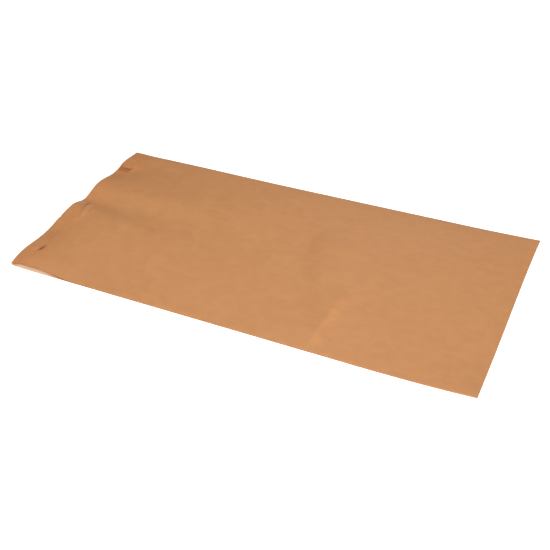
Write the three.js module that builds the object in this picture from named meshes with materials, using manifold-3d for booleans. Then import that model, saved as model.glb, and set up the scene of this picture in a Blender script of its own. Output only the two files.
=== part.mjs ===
// A flat, empty kraft paper bakery bag, lying on its back.
//
// The bag is one folded and glued sheet, so it is one solid: the plies and the air shut in between
// them. Its parts are the top ply, the underside, a gusset folded in along each long side, the
// closed bottom, folded over onto the top ply and glued there, and the cut mouth.
//
// Millimetres, +Z up. X runs from the closed bottom to the mouth and Y from the near long edge to
// the far one. The origin is in the middle of the bag, on the table. The functions below work in
// bag coordinates: `along` is the distance from the folded bottom and `across` from the near edge.

import * as THREE from 'three';
import { mergeVertices } from 'three/addons/utils/BufferGeometryUtils.js';
import Module from 'manifold-3d';

// ---- driving dimensions ----

const bagLength = 510; // folded bottom to mouth
const bagWidth = 250;
const gussetDepth = 35; // how far each side is folded in
const gussetDepthInFold = 5; // the fold that closes the bottom leaves only this much to see
const flapWidth = 17; // the bottom end, folded over onto the top ply
const flapDip = { middle: 149, halfWidth: 51, depth: 7 }; // its cut edge swerves towards the fold
const flapThickness = 0.5; // the four plies of that flap
const lipThickness = 0.35; // two plies, on each side of a gusset's groove
const edgeThickness = 1.25; // a long edge, with its folds sprung open a little
const crownRise = 1.1; // the top ply stands this much higher away from the edges
const crownWidth = { near: 85, far: 34 }; // over this distance from the two long edges
const mouthCrownShare = 0.3; // of that rise is left at the mouth
const mouthCrownLength = 90; // over this distance from the mouth
const foldRadius = 1.4; // of the fold that closes the bottom
const foldTipShare = 0.3; // the round fold's first section has this share of the full thickness
const foldedEndRise = 0.5; // the springy folded end is thicker by this

// The folded end isn't flat: hills run from it into the bag and die out. `crest` is where the hill
// stands across the bag, and `nearSide` and `farSide` are its widths to its two feet, at the fold
// and further in. `drift` is how far its crest moves away from the near edge for each millimetre in.
const endHills = [
  { crest: 22, drift: 0, nearSide: [34, 34], farSide: [52, 92], height: 4.4, top: 100, underside: 60 },
  { crest: 112, drift: -0.13, nearSide: [70, 115], farSide: [26, 31], height: 6.3, top: 225, underside: 80 },
  { crest: 166, drift: 0, nearSide: [32, 32], farSide: [35, 66], height: 5.1, top: 280, underside: 90 },
  { crest: 223, drift: 0, nearSide: [18, 18], farSide: [27, 27], height: 2.1, top: 45, underside: 45 },
];
const hillWidening = 50; // a hill has its second widths from this far in
const runOutPower = { top: 1.2, underside: 1.6 }; // how quickly a hill dies out along the bag
const nearEdgeRest = 24; // the underside's hills end this wide of the near edge, which rests

// Air under the top ply lifts it along both long edges.
const nearEdgeAir = { middle: 28, halfLength: 62, height: 2.6, width: 40 };
const nearEdgeAirStart = [-12, 16]; // it comes up between these places along the bag
const farEdgeAir = { middle: 50, halfLength: 180, height: 1.4, width: 60 };

// Three corners lift off the table: the near one of the folded end, and both of the mouth.
const nearFoldLift = { height: 1, length: 25, width: 30 };
const nearMouthLift = { height: 3.9, length: 110, width: 90 };
const farMouthLift = { height: 1.4, length: 90, width: 90 };
const mouthFlare = { start: 165, bulge: 1.4, length: 60 }; // the far corner was cut longer

// A soft crease crosses the top ply: a swell with a bent crest, and a sharp pinch in its near half.
// `before` and `after` are the widths of their two flanks along the bag.
const crossSwell = { before: 28, after: 60, height: 2.2, fade: [150, 190] };
const crossSwellCrest = { near: 352, far: 316, bendStart: 58, bendEnd: 104, lean: -0.18 };
const crossSwellStart = { share: 0.15, fade: [36, 84] }; // it is lower in its near half
const crossPinch = { before: 100, after: 15, height: 1.9, fade: [66, 104] };
const crossPinchCrest = { near: 346, lean: 0.07 };
const crossCreaseRest = 34; // both die out this close to the near edge

// The mouth is shut, and its slit shows only as a shallow recess between the cut plies.
const slitDepth = 9;
const slitGap = 0.5;
const slitMargin = 2; // columns of the mesh from a gusset's inner fold to the slit's end

// Two small eye-shaped openings at the flap's edge, where the gussets' inner folds end. `turn` is
// the angle of the eye's long axis from the bag's length.
const foldEyes = [
  { along: 15.5, across: 33.5, length: 12, width: 3.4, turn: 73 },
  { along: 11, across: 210.5, length: 14, width: 2.6, turn: 6 },
];
const eyeDepth = 1.1;

// ---- mesh density ----

const gussetColumns = 5;
const middleColumns = 26;
// The stations along the bag: close together in the folded end, wide apart in the calm middle.
const flapStations = [0, 0.35, 1.4, 4, 8, 12.5, flapWidth];
const flapEdgeRun = 0.25;
const bodyStations = 30;
const stationCrowding = 1.5; // over 1 puts more stations near the folded end
const creaseStations = [322, 334, 344, 352, 355, 360, 366]; // extra ones at the crease's pinch
const stationClearance = 5; // other stations keep this far away from those
const weldDistance = 1e-4;

// ---- small curves ----

const clamp01 = (t) => THREE.MathUtils.clamp(t, 0, 1);

/** A smooth hill: 1 at t = 0, falling to 0 with level feet at t = -1 and t = 1. */
const hill = (t) => (Math.abs(t) < 1 ? 0.5 * (1 + Math.cos(Math.PI * t)) : 0);

/** A crisp ridge: 1 at t = 0, falling to 0 with level feet at t = -1 and t = 1. */
const tent = (t) => Math.pow(1 - clamp01(Math.abs(t)), 2);

const { lerp, smoothstep } = THREE.MathUtils;

// ---- the form of the bag ----

/** How much the hills of the folded end raise a ply, `top` or `underside`. */
function endHillHeight(along, across, ply) {
  const widening = smoothstep(along, 0, hillWidening);
  let height = 0;
  for (const wave of endHills) {
    const offset = across - wave.crest - wave.drift * along;
    const [atFold, furtherIn] = offset < 0 ? wave.nearSide : wave.farSide;
    const lengthwise = Math.pow(1 - clamp01(along / wave[ply]), runOutPower[ply]);
    height += wave.height * hill(offset / lerp(atFold, furtherIn, widening)) * lengthwise;
  }
  return height;
}

/** A lift that is full in a corner and runs out along and across the bag. */
function cornerLift(lift, fromEnd, fromEdge) {
  const lengthwise = Math.pow(1 - clamp01(fromEnd / lift.length), 2);
  const crosswise = Math.pow(1 - clamp01(fromEdge / lift.width), 2);
  return lift.height * lengthwise * crosswise;
}

/** How much the lifted corners raise both plies. */
function cornersHeight(along, across) {
  const fromMouth = bagLength - along;
  return (
    cornerLift(nearFoldLift, along, across) +
    cornerLift(nearMouthLift, fromMouth, across) +
    cornerLift(farMouthLift, fromMouth, bagWidth - across)
  );
}

/** Height of the underside over the table: level, but for the folded end and the lifted corners. */
function undersideHeight(along, across) {
  const hills = endHillHeight(along, across, 'underside') * smoothstep(across, 0, nearEdgeRest);
  return hills + cornersHeight(along, across);
}

/** Distance between the underside and the top ply where nothing puffs or waves the paper. */
function restThickness(along, across) {
  const fromEdge = Math.min(across / crownWidth.near, (bagWidth - across) / crownWidth.far);
  const crown = crownRise * (1 - Math.pow(1 - clamp01(fromEdge), 2));
  const crownShare = lerp(mouthCrownShare, 1, smoothstep(bagLength - along, 0, mouthCrownLength));
  return edgeThickness + crown * crownShare + foldedEndRise * hill(along / (2 * flapWidth));
}

/** How high a form that runs across the bag stands, `offset` from its crest. */
function crossForm(form, profile, offset, across) {
  const flank = offset / (offset < 0 ? form.before : form.after);
  return form.height * profile(flank) * (1 - smoothstep(across, ...form.fade));
}

/** The soft crease across the top ply. */
function crossCreaseHeight(along, across) {
  const { near, far, bendStart, bendEnd, lean } = crossSwellCrest;
  const bent = lerp(near, far, smoothstep(across, bendStart, bendEnd));
  const swellCrest = bent + lean * Math.max(0, across - bendEnd);
  const swellShare = lerp(crossSwellStart.share, 1, smoothstep(across, ...crossSwellStart.fade));
  const swell = crossForm(crossSwell, hill, along - swellCrest, across) * swellShare;
  const pinchCrest = crossPinchCrest.near + crossPinchCrest.lean * across;
  const pinch = crossForm(crossPinch, tent, along - pinchCrest, across);
  return (swell + pinch) * smoothstep(across, -12, crossCreaseRest);
}

/** How much the air along a long edge lifts the top ply. */
function edgeAirHeight(air, along, fromEdge) {
  return air.height * hill((along - air.middle) / air.halfLength) * hill(fromEdge / air.width);
}

/** Height of the top ply over the table, without the flap that lies on it. */
function topPlyHeight(along, across) {
  return (
    restThickness(along, across) +
    endHillHeight(along, across, 'top') +
    edgeAirHeight(nearEdgeAir, along, across) * smoothstep(along, ...nearEdgeAirStart) +
    edgeAirHeight(farEdgeAir, along, bagWidth - across) +
    crossCreaseHeight(along, across) +
    cornersHeight(along, across)
  );
}

// ---- the mesh ----

const columns = 2 * gussetColumns + middleColumns;

/** The stations along the bag, with the two sides of the flap's cut edge among them. */
function makeStations() {
  const stations = flapStations.map((along) => ({ along, onFlap: true, followsEdge: true }));
  const foot = flapWidth + flapEdgeRun;
  const places = [...creaseStations];
  for (let i = 0; i <= bodyStations; i += 1) {
    const along = lerp(foot, bagLength, Math.pow(i / bodyStations, stationCrowding));
    if (creaseStations.every((place) => Math.abs(place - along) >= stationClearance)) {
      places.push(along);
    }
  }
  places.sort((a, b) => a - b);
  for (const along of places) {
    stations.push({ along, onFlap: false, followsEdge: along === foot });
  }
  return stations;
}

/** Where a station lies at a column: those of the flap follow its swerving cut edge. */
function stationAlong(station, across) {
  if (!station.followsEdge) {
    return station.along;
  }
  const dip = flapDip.depth * hill((across - flapDip.middle) / flapDip.halfWidth);
  return station.along * (1 - dip / flapWidth);
}

/** The gussets reach their full depth just behind the fold that closes the bottom. */
function gussetDepthAt(along) {
  return lerp(gussetDepthInFold, gussetDepth, clamp01(along / flapWidth));
}

/** Distance of a column from the near edge, at a station. */
function columnAcross(column, along) {
  const depth = gussetDepthAt(along);
  if (column <= gussetColumns) {
    return (depth * column) / gussetColumns;
  }
  if (column >= columns - gussetColumns) {
    return bagWidth - (depth * (columns - column)) / gussetColumns;
  }
  return depth + ((bagWidth - 2 * depth) * (column - gussetColumns)) / middleColumns;
}

/** All heights at one crossing of a station and a column. */
function sectionAt(station, column) {
  const across = columnAcross(column, station.along);
  const along = stationAlong(station, across);
  const underside = undersideHeight(along, across);
  const top = topPlyHeight(along, across) + (station.onFlap ? flapThickness : 0);
  const middle = (top + underside) / 2;

  // The fold that closes the bottom is round.
  const intoFold = 1 - clamp01(along / foldRadius);
  const round = Math.max(foldTipShare, Math.sqrt(1 - intoFold * intoFold));
  const halfThickness = ((top - underside) / 2) * round;

  // The gusset's groove narrows from the long edge to the gusset's inner fold.
  const fromFold = Math.min(column, columns - column) / gussetColumns;
  const halfGroove = Math.max(0, halfThickness - lipThickness) * (1 - clamp01(fromFold));

  // The mouth's cut edge bulges a little at its far corner.
  const towardsCorner = clamp01((across - mouthFlare.start) / (bagWidth - mouthFlare.start));
  const towardsMouth = clamp01(1 - (bagLength - along) / mouthFlare.length);
  const x = along + mouthFlare.bulge * Math.pow(towardsCorner, 2) * towardsMouth;
  return {
    x,
    y: across,
    top: middle + halfThickness,
    underside: middle - halfThickness,
    middle,
    grooveTop: middle + halfGroove,
    grooveBottom: middle - halfGroove,
  };
}

/** Collects the quads of a closed surface and welds them into one geometry. */
class Surface {
  constructor() {
    this.positions = [];
  }

  /** A triangle, left out where two of its corners are one point. */
  triangle(a, b, c) {
    const same = (p, q) => p.every((value, axis) => value === q[axis]);
    if (!same(a, b) && !same(b, c) && !same(c, a)) {
      this.positions.push(...a, ...b, ...c);
    }
  }

  quad(a, b, c, d) {
    this.triangle(a, b, c);
    this.triangle(a, c, d);
  }

  /** A sheet of quads over rows of points, wound so that its outside is up, or down if flipped. */
  sheet(rows, flipped = false) {
    for (let i = 0; i + 1 < rows.length; i += 1) {
      for (let j = 0; j + 1 < rows[i].length; j += 1) {
        const a = rows[i][j];
        const b = rows[i + 1][j];
        const c = rows[i + 1][j + 1];
        const d = rows[i][j + 1];
        if (flipped) {
          this.quad(a, d, c, b);
        } else {
          this.quad(a, b, c, d);
        }
      }
    }
  }

  geometry() {
    const loose = new THREE.BufferGeometry();
    loose.setAttribute('position', new THREE.Float32BufferAttribute(this.positions, 3));
    return mergeVertices(loose, weldDistance);
  }
}

/** The bag's closed surface, before the eyes are cut. */
function bagSurface() {
  const grid = makeStations().map((station) =>
    Array.from({ length: columns + 1 }, (_, column) => sectionAt(station, column)),
  );
  const level = (cells, name) => cells.map((cell) => [cell.x, cell.y, cell[name]]);
  const nearColumns = [0, gussetColumns + 1];
  const farColumns = [columns - gussetColumns, columns + 1];
  const middleRange = [gussetColumns, columns - gussetColumns + 1];
  const surface = new Surface();

  surface.sheet(grid.map((cells) => level(cells, 'top')));
  surface.sheet(grid.map((cells) => level(cells, 'underside')), true);
  for (const range of [nearColumns, farColumns]) {
    surface.sheet(grid.map((cells) => level(cells.slice(...range), 'grooveTop')), true);
    surface.sheet(grid.map((cells) => level(cells.slice(...range), 'grooveBottom')));
  }

  // The lips along the two long edges.
  for (const [column, flipped] of [[0, false], [columns, true]]) {
    const edge = grid.map((cells) => cells[column]);
    for (const [upper, lower] of [['top', 'grooveTop'], ['grooveBottom', 'underside']]) {
      const rows = edge.map((cell) => [
        [cell.x, cell.y, cell[lower]],
        [cell.x, cell.y, cell[upper]],
      ]);
      surface.sheet(rows, flipped);
    }
  }

  // The fold's end strip, and the cut plies at the mouth.
  const endStrip = (cells, upper, lower, flipped) => {
    surface.sheet([level(cells, lower), level(cells, upper)], flipped);
  };
  const foldCells = grid[0];
  const mouthCells = grid[grid.length - 1];
  for (const [cells, flipped] of [[foldCells, false], [mouthCells, true]]) {
    for (const range of [nearColumns, farColumns]) {
      endStrip(cells.slice(...range), 'top', 'grooveTop', flipped);
      endStrip(cells.slice(...range), 'grooveBottom', 'underside', flipped);
    }
  }
  endStrip(foldCells.slice(...middleRange), 'top', 'middle', false);
  endStrip(foldCells.slice(...middleRange), 'middle', 'underside', false);

  // The mouth's slit: two lips at the cut edge that meet a little way in.
  const slit = mouthCells.slice(...middleRange).map((cell, k, all) => {
    const open = Math.min(k, all.length - 1 - k) >= slitMargin ? 1 : 0;
    const half = (open * slitGap) / 2;
    const depth = open * slitDepth;
    return { ...cell, upperLip: cell.middle + half, lowerLip: cell.middle - half, depth };
  });
  endStrip(slit, 'top', 'upperLip', true);
  endStrip(slit, 'lowerLip', 'underside', true);
  const inside = slit.slice(slitMargin - 1, 1 - slitMargin);
  const root = inside.map((cell) => [cell.x - cell.depth, cell.y, cell.middle]);
  surface.sheet([root, level(inside, 'upperLip')], true);
  surface.sheet([root, level(inside, 'lowerLip')]);
  return surface.geometry();
}

// ---- the two eyes at the flap's edge ----

/** An eye-shaped cutter: two shallow arcs between two points, cut down into the top ply. */
function eyeCutter(eye) {
  const half = eye.length / 2;
  const shape = new THREE.Shape();
  shape.moveTo(-half, 0);
  shape.quadraticCurveTo(0, eye.width, half, 0);
  shape.quadraticCurveTo(0, -eye.width, -half, 0);
  const cutter = new THREE.ExtrudeGeometry(shape, {
    depth: 2 * eyeDepth,
    bevelEnabled: false,
    curveSegments: 6,
  });
  cutter.rotateZ(THREE.MathUtils.degToRad(eye.turn));
  const floor = topPlyHeight(eye.along, eye.across) - eyeDepth;
  cutter.translate(eye.along, eye.across, floor);
  return cutter;
}

const wasm = await Module();
wasm.setup();

/** A three.js geometry as a solid. */
function toSolid(geometry) {
  const bare = geometry.clone();
  bare.deleteAttribute('normal');
  bare.deleteAttribute('uv');
  const welded = mergeVertices(bare, weldDistance);
  const vertProperties = new Float32Array(welded.getAttribute('position').array);
  const triVerts = new Uint32Array(welded.getIndex().array);
  return new wasm.Manifold(new wasm.Mesh({ numProp: 3, vertProperties, triVerts }));
}

/** A solid as a three.js geometry. */
function toGeometry(solid) {
  const mesh = solid.getMesh();
  const geometry = new THREE.BufferGeometry();
  geometry.setAttribute('position', new THREE.BufferAttribute(mesh.vertProperties, 3));
  geometry.setIndex(new THREE.BufferAttribute(mesh.triVerts, 1));
  geometry.computeVertexNormals();
  return geometry;
}

function paperBagGeometry() {
  let bag = toSolid(bagSurface());
  for (const eye of foldEyes) {
    bag = bag.subtract(toSolid(eyeCutter(eye)));
  }
  return toGeometry(bag);
}

const kraftPaper = new THREE.MeshStandardMaterial({
  name: 'kraft_paper',
  color: new THREE.Color('#c88f63'),
  roughness: 0.75,
  metalness: 0,
});

const geometry = paperBagGeometry();
geometry.computeBoundingBox();
const middle = geometry.boundingBox.getCenter(new THREE.Vector3());
const floor = geometry.boundingBox.min.z;

const paperBag = new THREE.Mesh(geometry, kraftPaper);
paperBag.name = 'paper_bag';
paperBag.position.set(-middle.x, -middle.y, -floor);

const bakeryBag = new THREE.Group();
bakeryBag.add(paperBag);

export default bakeryBag;
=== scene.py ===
"""A flat, empty kraft paper bakery bag, lying with the flap of its closed bottom on top.

The bag is one glued tube of paper, and it is one mesh here: a ring of paper (top ply, gusset,
underside, gusset) that is swept from the cut mouth to the closed bottom, round the bottom's fold,
and back over the top ply as the glued flap.

`along` is the distance from the folded bottom and `across` the distance from the near long edge.
They, and all heights over the table, are in millimetres until the mesh is made.
"""

import math

import bmesh
import bpy
import numpy as np
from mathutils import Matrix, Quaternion, Vector


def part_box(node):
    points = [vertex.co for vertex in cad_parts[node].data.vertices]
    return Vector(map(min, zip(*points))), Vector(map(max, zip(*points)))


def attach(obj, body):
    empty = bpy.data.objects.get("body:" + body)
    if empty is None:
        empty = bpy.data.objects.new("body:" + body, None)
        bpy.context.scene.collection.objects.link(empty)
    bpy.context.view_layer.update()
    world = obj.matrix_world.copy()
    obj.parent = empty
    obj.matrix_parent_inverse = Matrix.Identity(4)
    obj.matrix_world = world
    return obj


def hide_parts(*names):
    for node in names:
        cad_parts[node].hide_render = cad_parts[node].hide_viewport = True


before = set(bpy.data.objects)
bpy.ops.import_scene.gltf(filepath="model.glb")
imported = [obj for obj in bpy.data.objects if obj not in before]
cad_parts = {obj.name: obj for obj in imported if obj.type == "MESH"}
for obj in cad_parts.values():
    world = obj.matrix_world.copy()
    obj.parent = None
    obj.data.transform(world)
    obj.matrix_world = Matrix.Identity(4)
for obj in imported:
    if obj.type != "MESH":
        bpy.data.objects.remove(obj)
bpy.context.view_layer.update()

MM = 0.001

# ---- the bag's form, as in the CAD model ----

GUSSET_DEPTH = 35.0
FLAP_WIDTH = 17.0
LIP_THICKNESS = 0.35  # two plies, on each side of a gusset's groove
EDGE_THICKNESS = 1.25  # a long edge, with its folds sprung open a little
CROWN_RISE = 1.1
CROWN_WIDTH = {"near": 85.0, "far": 34.0}
MOUTH_CROWN_SHARE = 0.3
MOUTH_CROWN_LENGTH = 90.0
FOLD_RADIUS = 1.4
FOLDED_END_RISE = 0.5

# Hills run from the folded end into the bag and die out. `near` and `far` are the widths of a
# hill's sides toward the near and the far edge, each at the fold and further in. `top` and `under`
# are how far it runs in the top ply and in the underside.
END_HILLS = [
    {"crest": 22, "near": (34, 34), "far": (52, 92), "height": 4.4, "top": 100, "under": 60},
    {"crest": 112, "near": (70, 115), "far": (26, 31), "height": 6.3, "top": 225, "under": 80},
    {"crest": 166, "near": (32, 32), "far": (35, 66), "height": 5.1, "top": 280, "under": 90},
    {"crest": 223, "near": (18, 18), "far": (27, 27), "height": 2.1, "top": 45, "under": 45},
]
HILL_WIDENING = 50.0  # the length over which they reach the second width
HILL_DRIFT = {"crest": 112, "by": -0.13}  # this crest runs a little toward the near edge
RUN_OUT_POWER = {"top": 1.2, "under": 1.6}
NEAR_EDGE_REST = 24.0  # the underside's hills come up over this width

NEAR_EDGE_AIR = {"middle": 28, "half_length": 62, "height": 2.6, "width": 40}
NEAR_EDGE_AIR_START = (-12, 16)  # it comes up between these places
FAR_EDGE_AIR = {"middle": 50, "half_length": 180, "height": 1.4, "width": 60}

NEAR_FOLD_LIFT = {"height": 1.0, "length": 25, "width": 30}
NEAR_MOUTH_LIFT = {"height": 3.9, "length": 110, "width": 90}
FAR_MOUTH_LIFT = {"height": 1.4, "length": 90, "width": 90}
MOUTH_FLARE = {"start": 165, "bulge": 1.4, "length": 60}

# A soft crease runs across the bag: a swell with a bent crest, and a sharp pinch in its near half.
CROSS_SWELL = {"before": 28, "after": 60, "height": 2.2, "fade_start": 150, "fade_end": 190}
CROSS_SWELL_CREST = {"near": 352, "far": 316, "bend_start": 58, "bend_end": 104, "lean": -0.18}
CROSS_SWELL_START = {"share": 0.15, "fade_start": 36, "fade_end": 84}  # it is lower in its near half
CROSS_PINCH = {"before": 100, "after": 15, "height": 1.9, "fade_start": 66, "fade_end": 104}
CROSS_PINCH_CREST = {"near": 346, "lean": 0.07}
CROSS_CREASE_START = (-12, 34)  # both come up between these places across

CAD_LOW, CAD_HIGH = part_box("paper_bag")
BAG_WIDTH = (CAD_HIGH.y - CAD_LOW.y) / MM
BAG_LENGTH = (CAD_HIGH.x - CAD_LOW.x) / MM - MOUTH_FLARE["bulge"]

# ---- the paper, finer than the CAD model ----

PAPER = 0.11  # one ply
NOSE_RADIUS = 0.17  # of the folds along the long edges
INNER_FOLD_RADIUS = 0.06  # of a gusset's inner fold
FLAP_PLIES = {"near": 0.46, "middle": 0.24, "far": 0.30, "blend": 4.0}  # the flap's thickness
GLUE_GAP = 0.01  # between the flap and the top ply
# The gusset gapes near the bottom's near corner: its upper lip is drawn in, its lower lip bulges.
NEAR_GAPE = {"start": (-6.0, 12.0), "end": (34.0, 78.0)}
NEAR_GAPE_SETBACK = {"by": 2.3, "width": 16.0}
NEAR_GAPE_BULGE = {"height": 2.0, "width": 3.4}
# The painted highlight on the gaping lower lip fades out between these places across.
LIP_HIGHLIGHT_FADE = (5.0, 12.0)
LINER_LENGTH = 48.0  # how far the plies' inner faces go in from the mouth
GUSSET_CUT_BACK = {"by": 0.4, "length": 6.0}  # the gussets' plies end this far inside the mouth's cut
FLAP_SLIT = 0.02  # half of the slit between the flap's own plies
NESTED_RADII = (0.02, 0.3, 0.7, 1.0)  # the four levels' radii in the bottom's fold, over FOLD_RADIUS

# The flap's cut edge: its distance from the fold swerves.
FLAP_EDGE_SWERVES = [
    {"middle": 149, "half_width": 49, "by": -7.0},
    {"middle": 55, "half_width": 20, "by": -1.6},
    {"middle": 25, "half_width": 9, "by": -2.0},
    {"middle": 39, "half_width": 9, "by": 2.2},
    {"middle": 5, "half_width": 14, "by": -1.4},
    {"middle": 211, "half_width": 12, "by": 1.4},
]

# The longitudinal glue seam is on the underside: the outer ply's cut edge, and the soft print of
# the inner ply's end.
SEAM = {"cut_edge": 91.0, "inner_end": 108.0, "sharp": 0.06, "soft": 2.5}
# The seam's thick stretch keeps the bottom's fold back a little.
FOLD_NOTCH = {"middle": 89.5, "half_width": 2.6, "depth": 1.5, "length": 6.0, "power": 1.6}

# Random swells: how high they are, their seed, and their shortest and longest waves.
SWELLS = {
    "wide": {"height": 0.20, "seed": 11, "waves": (60, 140)},
    "narrow": {"height": 0.06, "seed": 12, "waves": (16, 38)},
    "near_edge": {"height": 0.10, "seed": 13, "waves": (35, 90)},
    "flap_edge": {"height": 0.25, "seed": 21, "waves": (9, 30)},
}
SWELL_WAVES = 9  # plane waves in each
NEAR_EDGE_SWELL = {"width": 30, "pace_across": 0.2}  # it changes less across the bag than along it
# The wide and the narrow one come up between these distances from the long edges and the fold.
CALM = {"from_edge": (0, 18), "from_fold": (-4, 22)}


# ---- small curves ----


def hill(t):
    """1 at t = 0, falling to 0 with level feet at t = -1 and t = 1."""
    return np.where(np.abs(t) < 1, 0.5 * (1 + np.cos(np.pi * np.clip(t, -1, 1))), 0.0)


def clamp01(t):
    return np.clip(t, 0.0, 1.0)


def smoothstep(x, start, end):
    t = clamp01((x - start) / (end - start))
    return t * t * (3 - 2 * t)


def lerp(a, b, t):
    return a + (b - a) * t


def tent(t):
    """1 at t = 0 with a crisp top, falling to 0 at t = -1 and t = 1."""
    return (1 - clamp01(np.abs(t))) ** 2


def run_out(t, power):
    """1 up to t = 0, falling to 0 at t = 1, and the faster at first the higher the power."""
    return (1 - clamp01(t)) ** power


def swell(name, along, across):
    """A smooth random field: a sum of plane waves with random directions."""
    shortest, longest = SWELLS[name]["waves"]
    rng = np.random.default_rng(SWELLS[name]["seed"])
    total = np.zeros(np.broadcast(along, across).shape)
    for _ in range(SWELL_WAVES):
        turn = rng.uniform(0, math.pi)
        length = math.exp(rng.uniform(math.log(shortest), math.log(longest)))
        phase = rng.uniform(0, 2 * math.pi)
        way = along * math.cos(turn) + across * math.sin(turn)
        total += np.sin(2 * math.pi * way / length + phase)
    return SWELLS[name]["height"] * (total / math.sqrt(2 * SWELL_WAVES))


# ---- heights ----


def end_hills(along, across, ply):
    widening = smoothstep(along, 0, HILL_WIDENING)
    height = 0.0
    for wave in END_HILLS:
        drift = HILL_DRIFT["by"] * along if wave["crest"] == HILL_DRIFT["crest"] else 0.0
        offset = across - wave["crest"] - drift
        side = np.where(offset < 0, lerp(*wave["near"], widening), lerp(*wave["far"], widening))
        lengthwise = run_out(along / wave[ply], RUN_OUT_POWER[ply])
        height = height + wave["height"] * hill(offset / side) * lengthwise
    return height


def corner_lift(lift, from_end, from_edge):
    lengthwise = (1 - clamp01(from_end / lift["length"])) ** 2
    crosswise = (1 - clamp01(from_edge / lift["width"])) ** 2
    return lift["height"] * lengthwise * crosswise


def corners(along, across):
    from_mouth = BAG_LENGTH - along
    return (
        corner_lift(NEAR_FOLD_LIFT, along, across)
        + corner_lift(NEAR_MOUTH_LIFT, from_mouth, across)
        + corner_lift(FAR_MOUTH_LIFT, from_mouth, BAG_WIDTH - across)
    )


def edge_air(air, along, from_edge):
    lengthwise = hill((along - air["middle"]) / air["half_length"])
    return air["height"] * lengthwise * hill(from_edge / air["width"])


def cross_form(form, profile, offset, across):
    """A form that runs across the bag, from how far along a place is from its crest."""
    side = np.where(offset < 0, form["before"], form["after"])
    fade = 1 - smoothstep(across, form["fade_start"], form["fade_end"])
    return form["height"] * profile(offset / side) * fade


def cross_swell(along, across):
    crest = CROSS_SWELL_CREST
    bend = smoothstep(across, crest["bend_start"], crest["bend_end"])
    lean = crest["lean"] * np.maximum(0, across - crest["bend_end"])
    offset = along - lerp(crest["near"], crest["far"], bend) - lean
    start = CROSS_SWELL_START
    rise = smoothstep(across, start["fade_start"], start["fade_end"])
    return cross_form(CROSS_SWELL, hill, offset, across) * lerp(start["share"], 1, rise)


def cross_pinch(along, across):
    offset = along - CROSS_PINCH_CREST["near"] - CROSS_PINCH_CREST["lean"] * across
    return cross_form(CROSS_PINCH, tent, offset, across)


def cross_crease(along, across):
    both = cross_swell(along, across) + cross_pinch(along, across)
    return both * smoothstep(across, *CROSS_CREASE_START)


def seam_overlap(across):
    """1 where the seam's two plies lie over each other."""
    start = SEAM["cut_edge"]
    end = SEAM["inner_end"]
    sharp = smoothstep(across, start - SEAM["sharp"], start + SEAM["sharp"])
    return sharp * (1 - smoothstep(across, end - SEAM["soft"], end + SEAM["soft"]))


def underside_height(along, across):
    hills = end_hills(along, across, "under") * smoothstep(across, 0, NEAR_EDGE_REST)
    bare = hills + corners(along, across)
    return bare + PAPER * (1 - seam_overlap(across))


def rest_thickness(along, across):
    near_share = clamp01(across / CROWN_WIDTH["near"])
    far_share = clamp01((BAG_WIDTH - across) / CROWN_WIDTH["far"])
    crown = CROWN_RISE * (1 - (1 - np.minimum(near_share, far_share)) ** 2)
    share = lerp(MOUTH_CROWN_SHARE, 1, smoothstep(BAG_LENGTH - along, 0, MOUTH_CROWN_LENGTH))
    return EDGE_THICKNESS + crown * share + FOLDED_END_RISE * hill(along / (2 * FLAP_WIDTH))


def calm(along, across):
    """Fine relief is full away from the edges, where a ply is free, and dies out at the folds."""
    from_edge = np.minimum(across, BAG_WIDTH - across)
    return smoothstep(from_edge, *CALM["from_edge"]) * smoothstep(along, *CALM["from_fold"])


def fine_relief(along, across):
    """Soft dents and swells of the top ply."""
    inside = (swell("wide", along, across) + swell("narrow", along, across)) * calm(along, across)
    at_near_edge = swell("near_edge", along, across * NEAR_EDGE_SWELL["pace_across"])
    return inside + at_near_edge * hill(across / NEAR_EDGE_SWELL["width"])


def top_height(along, across):
    return (
        rest_thickness(along, across)
        + end_hills(along, across, "top")
        + edge_air(NEAR_EDGE_AIR, along, across) * smoothstep(along, *NEAR_EDGE_AIR_START)
        + edge_air(FAR_EDGE_AIR, along, BAG_WIDTH - across)
        + cross_crease(along, across)
        + corners(along, across)
        + fine_relief(along, across)
    )


# ---- the flap and the fold ----

# The eye at the near gusset: the flap's edge is sprung up, and the top ply is dented under it.
NEAR_EYE = {"middle": 33.0, "half_width": 8.5, "lift": 1.6}
NEAR_EYE_DENT = {"along": 15.0, "half_length": 6.0, "depth": 1.0}
# The near eye's painted shade: the top ply is painted dark from this far under the flap's edge.
NEAR_EYE_SHADE = {"under_edge": (0.5, 2.5), "widening": 1.3}  # dark from this far under the flap's edge
# The eye at the far gusset: the gusset's thick side stands up and leans over the thin middle.
FAR_EYE = {"mouth": 210.3, "root": 216.5, "near_end": 203.0, "far_end": 224.0, "rise": 1.5}
FAR_EYE_PLIES = 0.25  # the leaning edge's thickness
# The far eye's Z, in shares of the way over its columns: they run in under the leaning edge up to
# the first turn, back under its top ply up to the second, and then out on top of it. Their heights
# change over the next two ranges, and the last is where they are painted with shade, and how much.
FAR_EYE_TURN_IN = 0.35
FAR_EYE_TURN_OUT = 0.65
FAR_EYE_RISING = (FAR_EYE_TURN_IN - 0.03, FAR_EYE_TURN_IN + 0.12)
FAR_EYE_CROSSING = (FAR_EYE_TURN_OUT - 0.05, FAR_EYE_TURN_OUT + 0.05)
FAR_EYE_SHADE = {"middle": 0.14, "half_width": 0.2, "share": 0.65}
# How fully the far eye leans: none of it until late in the bottom's fold, all of it in the flap.
LEAN_AT_FOLD = {"start": 0.7, "share": 0.6}
LEAN_IN_FLAP = 0.3  # the share of the flap's width by which it leans fully

# Loose stretches of the flap's cut edge, where it stands off the top ply.
LOOSE_EDGES = [
    {"middle": 54, "half_width": 16, "lift": 0.35},
    {"middle": 92, "half_width": 13, "lift": 0.20},
    {"middle": 118, "half_width": 16, "lift": 0.8},
    {"middle": 178, "half_width": 16, "lift": 0.12},
]
LIFT_START = {"loose": 0.45, "eye": 0.15}  # they and the near eye lift from here, in shares of its width

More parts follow.
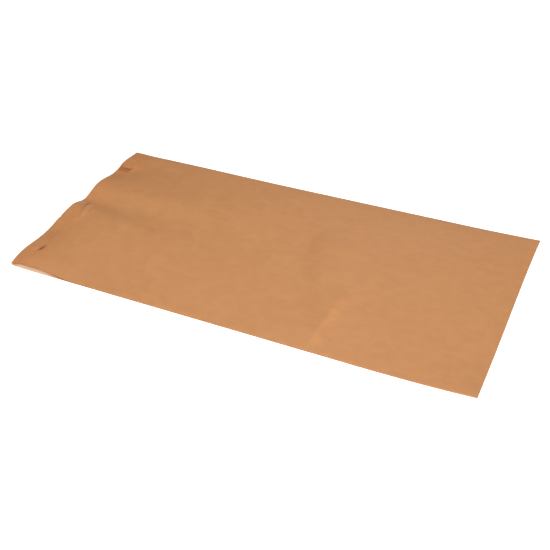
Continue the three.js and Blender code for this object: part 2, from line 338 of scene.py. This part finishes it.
# Creases of the folded end: start and end as (along, across), and the widths of their flanks to
# the left and right, seen from start to end.
END_CREASES = [
    {"start": (25.0, 92.0), "end": (16.0, 129.0), "height": 0.9, "left": 2.2, "right": 3.0},
    {"start": (15.5, 129.0), "end": (34.0, 110.0), "height": 0.85, "left": 2.5, "right": 2.2},
    {"start": (21.0, 125.0), "end": (25.0, 110.0), "height": -0.9, "left": 2.0, "right": 2.0},
    {"start": (15.0, 86.0), "end": (27.0, 98.0), "height": 0.4, "left": 2.5, "right": 3.0},
]
CREASE_TOP_RADIUS = 0.6
CREASE_TAPER = 0.3  # the share of its length over which a crease comes up at each end

# Dried glue reddens the flap: how much, and between which places across that changes.
GLUE_AT_NEAR = {"more": 0.35, "fade": (8, 40)}
GLUE_TOWARD_FAR = {"from": 0.3, "to": 0.7, "start": 140}
GLUE_IN_TOP_FADE = (14, 44)  # the top ply's glue fades out between these places along


def crease(along, across, start, end, height, left, right):
    """A ridge with a narrow top from start to end, or a valley where height is negative."""
    way = np.array(end, float) - np.array(start, float)
    length = math.hypot(*way)
    way /= length
    share = ((along - start[0]) * way[0] + (across - start[1]) * way[1]) / length
    offset = (across - start[1]) * way[0] - (along - start[0]) * way[1]
    reach = np.where(offset > 0, left, right)
    from_crest = np.sqrt(offset**2 + CREASE_TOP_RADIUS**2) - CREASE_TOP_RADIUS
    ridge = np.exp(-from_crest / reach)
    comes_up = smoothstep(share, 0, CREASE_TAPER)
    dies_away = smoothstep(1 - share, 0, CREASE_TAPER)
    return height * ridge * comes_up * dies_away


def end_creases(along, across):
    total = 0.0
    for form in END_CREASES:
        total = total + crease(along, across, **form)
    return total


def near_eye_dent(along, across):
    lengthwise = hill((along - NEAR_EYE_DENT["along"]) / NEAR_EYE_DENT["half_length"])
    crosswise = hill((across - NEAR_EYE["middle"]) / NEAR_EYE["half_width"])
    return NEAR_EYE_DENT["depth"] * lengthwise * crosswise


def top_ply(along, across):
    return top_height(along, across) + end_creases(along, across) - near_eye_dent(along, across)


def flap_edge(across):
    """How far the flap's cut edge is from the fold."""
    edge = FLAP_WIDTH
    for swerve in FLAP_EDGE_SWERVES:
        edge = edge + swerve["by"] * hill((across - swerve["middle"]) / swerve["half_width"])
    return edge + swell("flap_edge", 0 * across, across)


def flap_thickness(across):
    from_edge = np.minimum(across, BAG_WIDTH - across)
    share = smoothstep(from_edge, GUSSET_DEPTH - FLAP_PLIES["blend"], GUSSET_DEPTH)
    at_gusset = np.where(across < BAG_WIDTH / 2, FLAP_PLIES["near"], FLAP_PLIES["far"])
    return lerp(at_gusset, FLAP_PLIES["middle"], share)


def flap_gap(share, across):
    """The gap under the flap, at a share of the way from the fold to the flap's cut edge."""
    loose = 0.0
    for stretch in LOOSE_EDGES:
        loose = loose + stretch["lift"] * hill((across - stretch["middle"]) / stretch["half_width"])
    eye = NEAR_EYE["lift"] * hill((across - NEAR_EYE["middle"]) / NEAR_EYE["half_width"])
    loose = loose * smoothstep(share, LIFT_START["loose"], 1)
    return GLUE_GAP + loose + eye * smoothstep(share, LIFT_START["eye"], 1)


def fold_notch(from_fold, across):
    """How far the fold, and the paper next to it, stands back from the bag's end."""
    notch = FOLD_NOTCH["depth"] * hill((across - FOLD_NOTCH["middle"]) / FOLD_NOTCH["half_width"])
    return notch * run_out(from_fold / FOLD_NOTCH["length"], FOLD_NOTCH["power"])


def glue_in_flap(across):
    """Dried glue reddens the flap, most at the two gussets."""
    at_near = GLUE_AT_NEAR["more"] * (1 - smoothstep(across, *GLUE_AT_NEAR["fade"]))
    far_share = smoothstep(across, GLUE_TOWARD_FAR["start"], BAG_WIDTH)
    return at_near + lerp(GLUE_TOWARD_FAR["from"], GLUE_TOWARD_FAR["to"], far_share)


# ---- the ring of paper ----

TOP, UPPER, LOWER, UNDER = range(4)
NOSE_TURNS = (0.25, 0.5, 0.75)  # the points of a long edge's fold, in half turns
INNER_TURNS = (0.5,)  # and those of a gusset's inner fold

# Columns run along the bag, one over each place across it. They are closer together at the end
# creases and at the two eyes.
COLUMN_SPACING = 2.6
CLOSER_COLUMNS = [
    {"middle": 108, "half_width": 28, "spacing": 1.2},
    {"middle": 213, "half_width": 11, "spacing": 0.8},
    {"middle": NEAR_EYE["middle"], "half_width": 10, "spacing": 1.2},
]
SPACING_STEPS = 2000  # fine steps over which a spacing is summed up


def spaced(start, end, spacing):
    """Places from start to end, about spacing(place) apart."""
    fine = np.linspace(start, end, SPACING_STEPS)
    count = np.concatenate([[0], np.cumsum(np.diff(fine) / spacing((fine[1:] + fine[:-1]) / 2))])
    steps = max(1, round(count[-1]))
    return np.interp(np.linspace(0, count[-1], steps + 1), count, fine)


def column_spacing(across):
    spacing = np.full_like(across, COLUMN_SPACING)
    for stretch in CLOSER_COLUMNS:
        spacing[np.abs(across - stretch["middle"]) < stretch["half_width"]] = stretch["spacing"]
    return spacing


def columns_across():
    """The columns of the near gusset, of the middle, and of the far gusset."""
    inner = GUSSET_DEPTH
    near = spaced(NOSE_RADIUS, inner, column_spacing)
    middle = spaced(inner, BAG_WIDTH - inner, column_spacing)[1:-1]
    at_seam = np.argmin(np.abs(middle - SEAM["cut_edge"]))
    middle[at_seam] = SEAM["cut_edge"] + SEAM["sharp"]  # a column lies just inside the seam
    far = spaced(BAG_WIDTH - inner, BAG_WIDTH - NOSE_RADIUS, column_spacing)
    return near, middle, far


class Ring:
    """The points of the tube's section: where each lies across the bag, and between which levels.

    They go round from the top ply's near edge over the far gusset, the underside and the near one.
    """

    def __init__(self):
        self.across, self.nose, self.inner = [], [], []
        self.first, self.second, self.share = [], [], []
        near, middle, far = columns_across()
        self.rows = {}
        self.row("top", TOP, np.concatenate([near, middle, far]))
        self.turn(far[-1], 1, TOP, UPPER)
        self.row("far_upper", UPPER, far[::-1])
        self.turn(far[0], -1, UPPER, LOWER, inner=True)
        self.row("far_lower", LOWER, far)
        self.turn(far[-1], 1, LOWER, UNDER)
        self.row("under", UNDER, np.concatenate([near, middle, far])[::-1])
        self.turn(near[0], -1, UNDER, LOWER)
        self.row("near_lower", LOWER, near)
        self.turn(near[-1], 1, LOWER, UPPER, inner=True)
        self.row("near_upper", UPPER, near[::-1])
        self.turn(near[0], -1, UPPER, TOP)
        self.near_count = len(near)
        self.far_count = len(far)
        for name in ("across", "nose", "inner", "first", "second", "share"):
            setattr(self, name, np.array(getattr(self, name)))

    def add(self, across, nose, inner, first, second, share):
        self.across.append(across)
        self.nose.append(nose)
        self.inner.append(inner)
        self.first.append(first)
        self.second.append(second)
        self.share.append(share)

    def row(self, name, level, places):
        self.rows[name] = np.arange(len(self.across), len(self.across) + len(places))
        for place in places:
            self.add(place, 0.0, 0.0, level, level, 0.0)

    def turn(self, place, side, first, second, inner=False):
        """A round fold between two levels: how far each point stands out, in radii of the fold."""
        for turn in INNER_TURNS if inner else NOSE_TURNS:
            angle = math.pi * turn
            reach = side * math.sin(angle)
            share = (1 - math.cos(angle)) / 2
            if inner:
                self.add(place, 0.0, reach, first, second, share)
            else:
                self.add(place, reach, 0.0, first, second, share)


def place_ring(ring, x, z, shift, liner=False):
    """Points of the ring, from its four levels' places `x`, heights `z` and shifts across."""
    nose_radius = NOSE_RADIUS - PAPER if liner else NOSE_RADIUS
    inner_radius = INNER_FOLD_RADIUS + PAPER if liner else INNER_FOLD_RADIUS
    y = ring.across + ring.nose * nose_radius + ring.inner * inner_radius
    columns = np.arange(len(ring.across))

    def between_levels(values):
        return lerp(values[ring.first, columns], values[ring.second, columns], ring.share)

    return np.stack([between_levels(x), y + between_levels(shift), between_levels(z)], axis=1)


# ---- the sections of the tube ----


def near_gape(along):
    return smoothstep(along, *NEAR_GAPE["start"]) * (1 - smoothstep(along, *NEAR_GAPE["end"]))


def lip_setback(along, across):
    setback = NEAR_GAPE_SETBACK
    return setback["by"] * near_gape(along) * (1 - clamp01(across / setback["width"])) ** 2


def painted_lip_highlight(along, ring):
    """A painted highlight: the gaping gusset's lower lip is painted pale."""
    lip = (ring.second == LOWER) & (ring.across < GUSSET_DEPTH)
    return lip * near_gape(along) * (1 - smoothstep(ring.across, *LIP_HIGHLIGHT_FADE))


def body_levels(along, across):
    """Heights of the four levels in the bag's body."""
    top = top_ply(along, across)
    under = underside_height(along, across)
    middle = (top + under) / 2
    half = (top - under) / 2
    from_edge = np.minimum(across, BAG_WIDTH - across)
    groove = np.maximum(0, half - LIP_THICKNESS) * (1 - clamp01(from_edge / GUSSET_DEPTH))
    groove = np.maximum(groove, INNER_FOLD_RADIUS)
    bulge = NEAR_GAPE_BULGE["height"] * near_gape(along)
    bulge = bulge * smoothstep(across, 0, NEAR_GAPE_BULGE["width"])
    lower = np.minimum(middle - groove + bulge, middle + groove - 2 * INNER_FOLD_RADIUS)
    return np.stack([top, middle + groove, lower, under])


def glue_on_top(along, ring):
    """Glue that soaked into the top ply along the flap's edge."""
    soaked = glue_in_flap(ring.across) * (1 - smoothstep(along, *GLUE_IN_TOP_FADE))
    return np.where(ring.first == TOP, soaked, 0.0)


def near_eye_shade(along, ring):
    """Painted shade: the top ply is painted dark inside the near eye."""
    covered = smoothstep(flap_edge(ring.across) - along, *NEAR_EYE_SHADE["under_edge"])
    half_width = NEAR_EYE_SHADE["widening"] * NEAR_EYE["half_width"]
    eye = hill((ring.across - NEAR_EYE["middle"]) / half_width)
    return np.where(ring.first == TOP, covered * eye, 0.0)


def body_section(ring, along):
    across = ring.across
    z = body_levels(along, across)
    corner = clamp01((across - MOUTH_FLARE["start"]) / (BAG_WIDTH - MOUTH_FLARE["start"]))
    near_mouth = clamp01(1 - (BAG_LENGTH - along) / MOUTH_FLARE["length"])
    x = along + MOUTH_FLARE["bulge"] * corner**2 * near_mouth + np.zeros((4, len(across)))
    cut_back = smoothstep(along, BAG_LENGTH - GUSSET_CUT_BACK["length"], BAG_LENGTH)
    x[[UPPER, LOWER]] -= GUSSET_CUT_BACK["by"] * cut_back
    x += fold_notch(along - FOLD_RADIUS, across)
    shift = np.zeros_like(x)
    shift[[TOP, UPPER]] = lip_setback(along, across)
    return x, z, shift


def flap_levels(share, across):
    """Places along the bag and heights of the four levels in the flap, which lies upside down."""
    along = lerp(FOLD_RADIUS, flap_edge(across), share)
    floor = top_ply(along, across) + flap_gap(share, across)
    thickness = flap_thickness(across)
    middle = floor + thickness / 2
    z = np.stack([floor, middle - FLAP_SLIT, middle + FLAP_SLIT, floor + thickness])
    x = along + fold_notch(along, across) + np.zeros_like(z)
    return x, z, lip_setback(along, across) + np.zeros_like(z)


def far_eye_columns(ring):
    """The outer face's columns that form the far eye, and their shares of the way over it."""
    share = (ring.across - FAR_EYE["near_end"]) / (FAR_EYE["far_end"] - FAR_EYE["near_end"])
    outer = (ring.first == UNDER) & (ring.second == UNDER) & (share > 0) & (share < 1)
    return outer, share


def far_eye_shade(ring):
    """Painted shade: the outer face is painted dark inside the far eye."""
    outer, share = far_eye_columns(ring)
    shade = FAR_EYE_SHADE
    return outer * shade["share"] * hill((share - shade["middle"]) / shade["half_width"])


def lean_over_far_eye(ring, y, z, weight):
    """Folds the flap's outer face into a Z at the far gusset: a dark slit under a leaning edge."""
    eye = FAR_EYE
    turn_in, turn_out = FAR_EYE_TURN_IN, FAR_EYE_TURN_OUT
    outer, share = far_eye_columns(ring)
    t = share[outer]
    run_in = lerp(eye["near_end"], eye["root"], clamp01(t / turn_in))
    run_back = lerp(eye["root"], eye["mouth"], clamp01((t - turn_in) / (turn_out - turn_in)))
    run_on = lerp(eye["mouth"], eye["far_end"], clamp01((t - turn_out) / (1 - turn_out)))
    folded = np.where(t < turn_in, run_in, np.where(t < turn_out, run_back, run_on))
    inside = (eye["rise"] - FAR_EYE_PLIES) * smoothstep(t, *FAR_EYE_RISING)
    on_top = FAR_EYE_PLIES * smoothstep(t, *FAR_EYE_CROSSING)
    settle = 1 - smoothstep(t, FAR_EYE_CROSSING[1], 1)
    bare = np.interp(folded, y[outer][::-1], z[outer][::-1])  # the face's own height there
    z[outer] = lerp(z[outer], bare + (inside + on_top) * settle, weight)
    y[outer] = lerp(y[outer], folded, weight)


def bend_section(ring, turn):
    """The fold that closes the bottom: `turn` runs from 0 in the body to 1 in the flap."""
    across = ring.across
    body_x, body_z, body_shift = body_section(ring, FOLD_RADIUS)
    flap_x, flap_z, flap_shift = flap_levels(0.0, across)
    angle = math.pi * turn
    share = (1 - math.cos(angle)) / 2
    nested = np.array(NESTED_RADII)[:, None]
    x = lerp(body_x, flap_x, share) - FOLD_RADIUS * nested * math.sin(angle)
    return x, lerp(body_z, flap_z, share), lerp(body_shift, flap_shift, share)


# ---- the mesh ----

# Stations are the places along the bag that a ring is made at. They are closer together at the
# folded end, at the cross crease and at the mouth, and widen over a range of distances from there.
STATION_SPACING = 4.0
CLOSER_STATIONS = {
    "folded_end": {"spacing": 1.2, "widening": (28, 130)},
    "cross_crease": {"spacing": 1.6, "widening": (16, 40)},
    "mouth": {"spacing": 0.9, "widening": (2, 40)},
}
LINER_STATION_STEP = 2  # the liner has a ring at every second station
BEND_STEPS = 12
FLAP_SHARES = (*np.linspace(0, 0.94, 13), 1.0)  # the flap's rings, from the fold to its cut edge


def station_spacing(along):
    distances = {
        "folded_end": along,
        "cross_crease": np.abs(along - CROSS_SWELL_CREST["near"]),
        "mouth": BAG_LENGTH - along,
    }
    spacings = []
    for name, closer in CLOSER_STATIONS.items():
        share = smoothstep(distances[name], *closer["widening"])
        spacings.append(lerp(closer["spacing"], STATION_SPACING, share))
    return np.minimum.reduce(spacings)


# Beside the glue, the paints are a painted highlight on the gaping lip and painted shade in the two eyes.
PAINTS = ("glue", "lip_highlight", "deep")  # what the material mixes in, point by point
SHARP_ANGLE = math.radians(50)
BACKWARD_ROWS = ("far_upper", "under", "near_upper")  # they run toward the near edge


class Sheet:
    """Collects rings of points, with their paints, and the quads between them."""

    def __init__(self, ring):
        self.ring = ring
        self.points = []
        self.faces = []
        self.paint = {name: [] for name in PAINTS}

    def add_ring(self, points, **paint):
        base = len(self.points)
        self.points.extend(points.tolist())
        for name, values in self.paint.items():
            values.extend(np.broadcast_to(paint.get(name, 0.0), len(points)).tolist())
        return base

    def join(self, a, b):
        count = len(self.ring.across)
        for i in range(count):
            j = (i + 1) % count
            self.faces.append((a + i, a + j, b + j, b + i))

    def close(self, base):
        """Closes a ring with faces between the rows that lie over each other."""
        rows = {name: (base + row).tolist() for name, row in self.ring.rows.items()}
        for name in BACKWARD_ROWS:
            rows[name].reverse()
        top, under = rows["top"], rows["under"]
        near, far = self.ring.near_count, self.ring.far_count
        last = len(top)
        self.strip(top[:near], rows["near_upper"])
        self.strip(rows["near_lower"], under[:near])
        self.strip(top[near:last - far], under[near:last - far])
        self.strip(top[last - far:], rows["far_upper"])
        self.strip(rows["far_lower"], under[last - far:])
        for first, second in (
            (top[0], rows["near_upper"][0]),
            (rows["near_lower"][0], under[0]),
            (top[-1], rows["far_upper"][-1]),
            (rows["far_lower"][-1], under[-1]),
        ):
            self.faces.append(tuple(self.between(first, second, base)))
        inner_near = self.between(rows["near_upper"][-1], rows["near_lower"][-1], base)
        self.faces.append((top[near], top[near - 1], *inner_near, under[near - 1], under[near]))
        inner_far = self.between(rows["far_upper"][0], rows["far_lower"][0], base)
        k = last - far
        self.faces.append((top[k - 1], top[k], *inner_far, under[k], under[k - 1]))

    def between(self, first, second, base):
        """The ring's points from first to second, by the short way round."""
        count = len(self.ring.across)
        a, b = first - base, second - base
        if (b - a) % count > (a - b) % count:
            return [base + (a - k) % count for k in range((a - b) % count + 1)]
        return [base + (a + k) % count for k in range((b - a) % count + 1)]

    def strip(self, upper, lower):
        for i in range(len(upper) - 1):
            self.faces.append((upper[i], upper[i + 1], lower[i + 1], lower[i]))


def liner_section(ring, along):
    """The plies' inner faces, one ply in from the outer ones."""
    x, z, shift = body_section(ring, along)
    inward = np.array([-1, 1, -1, 1])[:, None] * PAPER
    return place_ring(ring, x, z + inward, shift, liner=True)


def add_body_ring(sheet, along):
    ring = sheet.ring
    points = place_ring(ring, *body_section(ring, along))
    paint = {
        "glue": glue_on_top(along, ring),
        # a painted highlight on the gaping lower lip
        "lip_highlight": painted_lip_highlight(along, ring),
        # painted shade inside the near eye
        "deep": near_eye_shade(along, ring),
    }
    return sheet.add_ring(points, **paint)


def add_bend_ring(sheet, turn):
    ring = sheet.ring
    points = place_ring(ring, *bend_section(ring, turn))
    weight = LEAN_AT_FOLD["share"] * smoothstep(turn, LEAN_AT_FOLD["start"], 1)
    lean_over_far_eye(ring, points[:, 1], points[:, 2], weight)
    paint = {
        "glue": glue_in_flap(ring.across) * turn,
        # the painted highlight on the lower lip, fading round the fold
        "lip_highlight": painted_lip_highlight(0.0, ring) * (1 - turn),
        # painted shade inside the far eye
        "deep": far_eye_shade(ring) * weight,
    }
    return sheet.add_ring(points, **paint)


def add_flap_ring(sheet, share):
    ring = sheet.ring
    points = place_ring(ring, *flap_levels(share, ring.across))
    weight = lerp(LEAN_AT_FOLD["share"], 1.0, smoothstep(share, 0, LEAN_IN_FLAP))
    lean_over_far_eye(ring, points[:, 1], points[:, 2], weight)
    # The far eye's inside gets painted shade.
    return sheet.add_ring(points, glue=glue_in_flap(ring.across), deep=far_eye_shade(ring))


def sweep_bag():
    """From deep inside the mouth out to its cut, along the body, round the fold and up the flap."""
    sheet = Sheet(Ring())
    stations = spaced(FOLD_RADIUS, BAG_LENGTH, station_spacing)[::-1]
    at_mouth = stations[stations > BAG_LENGTH - LINER_LENGTH]
    from_inside = at_mouth[::LINER_STATION_STEP][::-1]
    bases = [sheet.add_ring(liner_section(sheet.ring, along)) for along in from_inside]
    bases += [add_body_ring(sheet, along) for along in stations]
    bases += [add_bend_ring(sheet, turn) for turn in np.linspace(0, 1, BEND_STEPS + 1)[1:-1]]
    bases += [add_flap_ring(sheet, share) for share in FLAP_SHARES]
    sheet.close(bases[0])
    for base, following in zip(bases, bases[1:]):
        sheet.join(base, following)
    sheet.close(bases[-1])
    return sheet


def in_frame(points):
    """Bag coordinates in millimetres to the frame's metres."""
    return points * MM + np.array([CAD_LOW.x, CAD_LOW.y, CAD_LOW.z])


def make_bag():
    sheet = sweep_bag()
    mesh = bpy.data.meshes.new("bag_paper")
    mesh.from_pydata(in_frame(np.array(sheet.points)).tolist(), [], sheet.faces)
    bag = bpy.data.objects.new("bag_paper", mesh)
    bpy.context.scene.collection.objects.link(bag)
    shell = bmesh.new()
    shell.from_mesh(mesh)
    bmesh.ops.recalc_face_normals(shell, faces=shell.faces)
    shell.to_mesh(mesh)
    shell.free()
    for name, values in sheet.paint.items():
        mesh.attributes.new(name, "FLOAT", "POINT").data.foreach_set("value", values)
    mesh.polygons.foreach_set("use_smooth", [True] * len(mesh.polygons))
    mesh.set_sharp_from_angle(angle=SHARP_ANGLE)
    return bag


# ---- kraft paper ----


class Nodes:
    """Short ways to add and link a material's nodes."""

    def __init__(self, name):
        self.material = bpy.data.materials.new(name)
        self.material.use_nodes = True
        self.tree = self.material.node_tree
        self.shader = self.tree.nodes["Principled BSDF"]
        self.place = self.add("ShaderNodeTexCoord").outputs["Object"]

    def add(self, kind, **settings):
        node = self.tree.nodes.new(kind)
        for name, value in settings.items():
            setattr(node, name, value)
        return node

    def link(self, output, socket):
        self.tree.links.new(output, socket)

    def stretched(self, scale, turn=0.0):
        mapping = self.add("ShaderNodeMapping")
        mapping.inputs["Scale"].default_value = scale
        mapping.inputs["Rotation"].default_value = (0, 0, turn)
        self.link(self.place, mapping.inputs["Vector"])
        return mapping.outputs["Vector"]

    def noise(self, scale, detail=3.0, rough=0.55, distortion=0.0, turn=0.0):
        """Noise with features of 1/scale metres along each axis."""
        noise = self.add("ShaderNodeTexNoise")
        noise.inputs["Scale"].default_value = 1.0
        noise.inputs["Detail"].default_value = detail
        noise.inputs["Roughness"].default_value = rough
        noise.inputs["Distortion"].default_value = distortion
        self.link(self.stretched(scale, turn), noise.inputs["Vector"])
        return noise.outputs["Fac"]

    def ramp(self, value, start, end):
        """Smooth steps of the value between two ranges, each a pair of numbers."""
        node = self.add("ShaderNodeMapRange", interpolation_type="SMOOTHSTEP")
        sockets = ("From Min", "From Max", "To Min", "To Max")
        for name, number in zip(sockets, (*start, *end)):
            node.inputs[name].default_value = number
        self.link(value, node.inputs["Value"])
        return node.outputs["Result"]

    def attribute(self, name):
        return self.add("ShaderNodeAttribute", attribute_name=name).outputs["Fac"]

    def combine(self, kind, a, b):
        """Adds or multiplies two values, each a number or another node's value."""
        node = self.add("ShaderNodeMath", operation=kind)
        for socket, value in zip(node.inputs, (a, b)):
            if isinstance(value, (int, float)):
                socket.default_value = value
            else:
                self.link(value, socket)
        return node.outputs["Value"]

    def mix(self, share, a, b):
        """Mixes two colours, each a tuple or another node's colour."""
        node = self.add("ShaderNodeMix", data_type="RGBA")
        self.link(share, node.inputs["Factor"])
        for name, value in (("A", a), ("B", b)):
            socket = next(s for s in node.inputs if s.name == name and s.type == "RGBA")
            if isinstance(value, tuple):
                socket.default_value = (*value, 1)
            else:
                self.link(value, socket)
        return next(s for s in node.outputs if s.type == "RGBA")


KRAFT = (0.589, 0.266, 0.102)
KRAFT_DARK = (0.539, 0.237, 0.089)
KRAFT_LIGHT = (0.639, 0.296, 0.116)
FIBRE_DARK = (0.440, 0.178, 0.066)
FIBRE_LIGHT = (0.690, 0.355, 0.175)
GLUED = (0.625, 0.222, 0.072)
# A painted highlight for the gaping gusset's lower lip.
PAINTED_HIGHLIGHT = (0.780, 0.500, 0.320)
# Painted shade, for the insides of the two eyes.
PAINTED_SHADE = (0.370, 0.120, 0.030)

# The noises of the paper: features per metre along and across the bag and in height, and detail.
NOISES = {
    "cloud": {"scale": (24, 38, 38), "detail": 2},
    "streak": {"scale": (9, 420, 420), "detail": 2},
    "mottle": {"scale": (75, 100, 100), "detail": 4, "rough": 0.62},
    "fibre": {"scale": (150, 1500, 1500), "detail": 3, "rough": 0.6, "distortion": 0.8},
    "cross_fibre": {"scale": (420, 1300, 1300), "detail": 3, "rough": 0.6, "distortion": 1.2, "turn": 0.9},
    "fleck": {"scale": (900, 1500, 1500), "detail": 1},
}
# What is laid over the dark kraft colour, in turn: a colour, the noise that places it, the range
# of that noise that counts, and the colour's shares at the two ends of the range.
TINTS = [
    {"colour": KRAFT_LIGHT, "noise": "mottle", "range": (0.3, 0.7), "shares": (0.2, 0.8)},
    {"colour": KRAFT, "noise": "cloud", "range": (0.3, 0.7), "shares": (0.55, 0.15)},
    {"colour": KRAFT_LIGHT, "noise": "streak", "range": (0.45, 0.75), "shares": (0.0, 0.25)},
    {"colour": FIBRE_LIGHT, "noise": "fibre", "range": (0.56, 0.74), "shares": (0.0, 0.34)},
    {"colour": FIBRE_DARK, "noise": "cross_fibre", "range": (0.58, 0.76), "shares": (0.0, 0.34)},
    {"colour": FIBRE_DARK, "noise": "fleck", "range": (0.70, 0.80), "shares": (0.0, 0.6)},
]
GLUE_STRENGTH = 0.42
ROUGHNESS = {"mottle": (0.46, 0.54), "streak": (-0.03, 0.03)}  # the second is added to the first
ROUGHNESS_RANGE = (0.3, 0.7)  # the range of both noises that counts
SPECULAR = 0.45
BUMP_SHARES = {"fibre": 0.5, "cross_fibre": 0.5, "mottle": 1.4}
BUMP = {"Strength": 0.35, "Distance": 0.00006}


def paper_colour(n, noises):
    colour = KRAFT_DARK
    for tint in TINTS:
        share = n.ramp(noises[tint["noise"]], tint["range"], tint["shares"])
        colour = n.mix(share, colour, tint["colour"])
    colour = n.mix(n.combine("MULTIPLY", n.attribute("glue"), GLUE_STRENGTH), colour, GLUED)
    # a painted highlight on the gaping lower lip
    colour = n.mix(n.attribute("lip_highlight"), colour, PAINTED_HIGHLIGHT)
    # painted shade inside the two eyes
    return n.mix(n.attribute("deep"), colour, PAINTED_SHADE)


def paper_bump(n, noises):
    height = 0.0
    for name, share in BUMP_SHARES.items():
        height = n.combine("ADD", height, n.combine("MULTIPLY", noises[name], share))
    bump = n.add("ShaderNodeBump")
    for name, number in BUMP.items():
        bump.inputs[name].default_value = number
    n.link(height, bump.inputs["Height"])
    return bump.outputs["Normal"]


def kraft_paper():
    n = Nodes("kraft_paper")
    noises = {name: n.noise(**settings) for name, settings in NOISES.items()}
    streaks = n.ramp(noises["streak"], ROUGHNESS_RANGE, ROUGHNESS["streak"])
    mottles = n.ramp(noises["mottle"], ROUGHNESS_RANGE, ROUGHNESS["mottle"])
    n.link(paper_colour(n, noises), n.shader.inputs["Base Color"])
    n.link(n.combine("ADD", streaks, mottles), n.shader.inputs["Roughness"])
    n.link(paper_bump(n, noises), n.shader.inputs["Normal"])
    n.shader.inputs["Specular IOR Level"].default_value = SPECULAR
    return n.material


# ---- stage ----

WHITE = (1, 1, 1, 1)
FLOOR_SIZE = 8.0
FLOOR_COLOUR = (0.9, 0.9, 0.9, 1)
FLOOR_ROUGHNESS = 0.9
FLOOR_GLOW = 0.72
STUDIO_GLOW = 0.13
LAMPS = [
    {"name": "key", "place": (1.45, -1.1, 1.35), "size": 0.8, "power": 40.6},
    {"name": "overhead", "place": (-0.10, -0.13, 0.66), "size": 0.5, "power": 2.0},
    {"name": "sheen", "place": (-0.2, 1.15, 0.9), "size": 0.5, "power": 1.25},
]
CAMERA_PLACE = Vector((0.33744, -0.64925, 0.55547))
CAMERA_TARGET = Vector((0.01620, -0.03220, 0.0))
CAMERA_ROLL = math.radians(-3.379)
CAMERA_LENS = 55.865  # millimetres, as the sensor's width is
SENSOR_WIDTH = 36.0


def floor_white():
    material = bpy.data.materials.new("floor_white")
    material.use_nodes = True
    shader = material.node_tree.nodes["Principled BSDF"]
    shader.inputs["Base Color"].default_value = FLOOR_COLOUR
    shader.inputs["Roughness"].default_value = FLOOR_ROUGHNESS
    shader.inputs["Emission Color"].default_value = WHITE
    shader.inputs["Emission Strength"].default_value = FLOOR_GLOW
    return material


def make_floor():
    mesh = bpy.data.meshes.new("floor")
    h = FLOOR_SIZE / 2
    mesh.from_pydata([(-h, -h, 0), (h, -h, 0), (h, h, 0), (-h, h, 0)], [], [(0, 1, 2, 3)])
    floor = bpy.data.objects.new("floor", mesh)
    floor.data.materials.append(floor_white())
    bpy.context.scene.collection.objects.link(floor)


def look_at(place, target, roll=0.0):
    turn = (target - place).to_track_quat("-Z", "Y")
    return turn @ Quaternion((0, 0, 1), roll)


def make_lamp(name, place, size, power):
    light = bpy.data.lights.new(name, "AREA")
    light.size = size
    light.energy = power
    lamp = bpy.data.objects.new(name, light)
    lamp.location = place
    lamp.rotation_mode = "QUATERNION"
    lamp.rotation_quaternion = look_at(Vector(place), Vector((0, 0, 0)))
    bpy.context.scene.collection.objects.link(lamp)


def make_world():
    world = bpy.data.worlds.new("studio")
    world.use_nodes = True
    background = world.node_tree.nodes["Background"]
    background.inputs["Color"].default_value = WHITE
    background.inputs["Strength"].default_value = STUDIO_GLOW
    bpy.context.scene.world = world


def make_camera():
    camera = bpy.data.cameras.new("camera")
    camera.lens = CAMERA_LENS
    camera.sensor_width = SENSOR_WIDTH
    camera.sensor_fit = "HORIZONTAL"
    body = bpy.data.objects.new("camera", camera)
    body.location = CAMERA_PLACE
    body.rotation_mode = "QUATERNION"
    body.rotation_quaternion = look_at(CAMERA_PLACE, CAMERA_TARGET, CAMERA_ROLL)
    bpy.context.scene.collection.objects.link(body)
    bpy.context.scene.camera = body


def plain_colours():
    view = bpy.context.scene.view_settings
    view.view_transform = "Standard"
    view.look = "None"


make_floor()
make_world()
for lamp in LAMPS:
    make_lamp(**lamp)
make_camera()
plain_colours()

bag = make_bag()
bag.data.materials.append(kraft_paper())
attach(bag, "root")
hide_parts("paper_bag")
